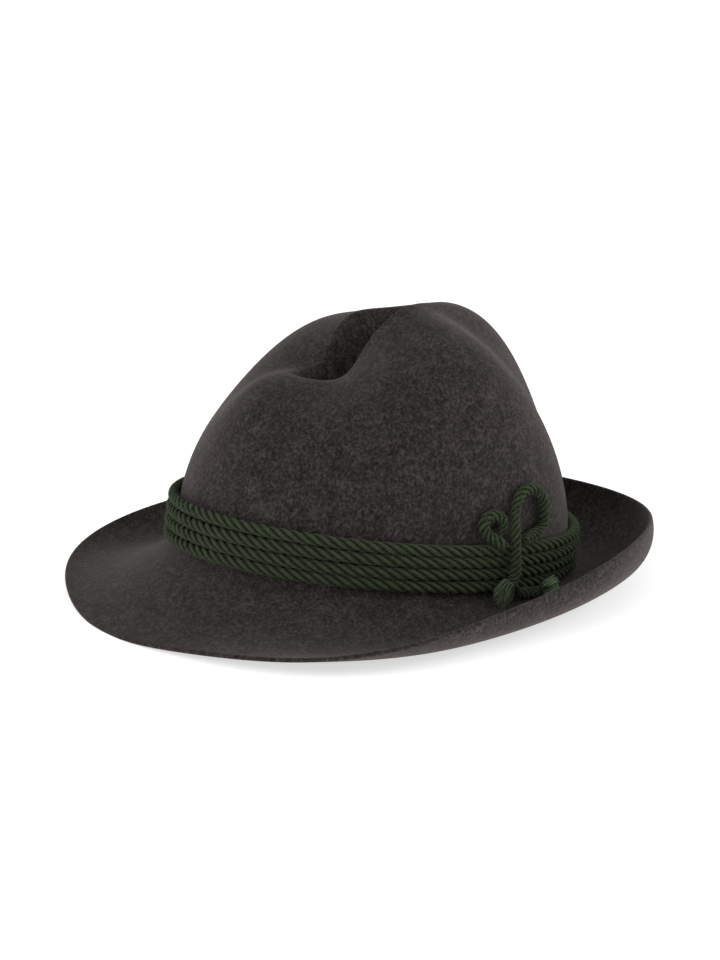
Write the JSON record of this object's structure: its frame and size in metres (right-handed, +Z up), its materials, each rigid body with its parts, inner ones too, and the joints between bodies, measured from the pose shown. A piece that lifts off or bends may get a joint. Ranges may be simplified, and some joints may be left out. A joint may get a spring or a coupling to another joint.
{
  "type": "tyrolean hat",
  "caption": "Felt hat with a long pinched crown, a brim turned down in front and up behind, a leather sweatband and a twisted green cord knotted at the side.",
  "frame": {"origin": "middle of the hat's outline in plan, at the height of the surface that it rests on", "axes": "+X to the wearer's left, where the cord's knot is, +Y to the back of the hat, +Z up"},
  "size_m": [0.2796, 0.3102, 0.1464],
  "materials": {
    "felt": "matte grey-brown wool felt",
    "leather": "smooth brown leather",
    "cord": "twisted dark green wool cord"
  },
  "bodies": {
    "root": {"felt_body": "felt", "sweatband": "leather", "cord_turn_1": "cord", "cord_turn_2": "cord", "cord_turn_3": "cord", "cord_turn_4": "cord", "knot_large_loop": "cord", "knot_small_loop": "cord", "knot_tail": "cord", "frayed_end_front": "cord", "frayed_end_back": "cord"}
  },
  "joints": []
}
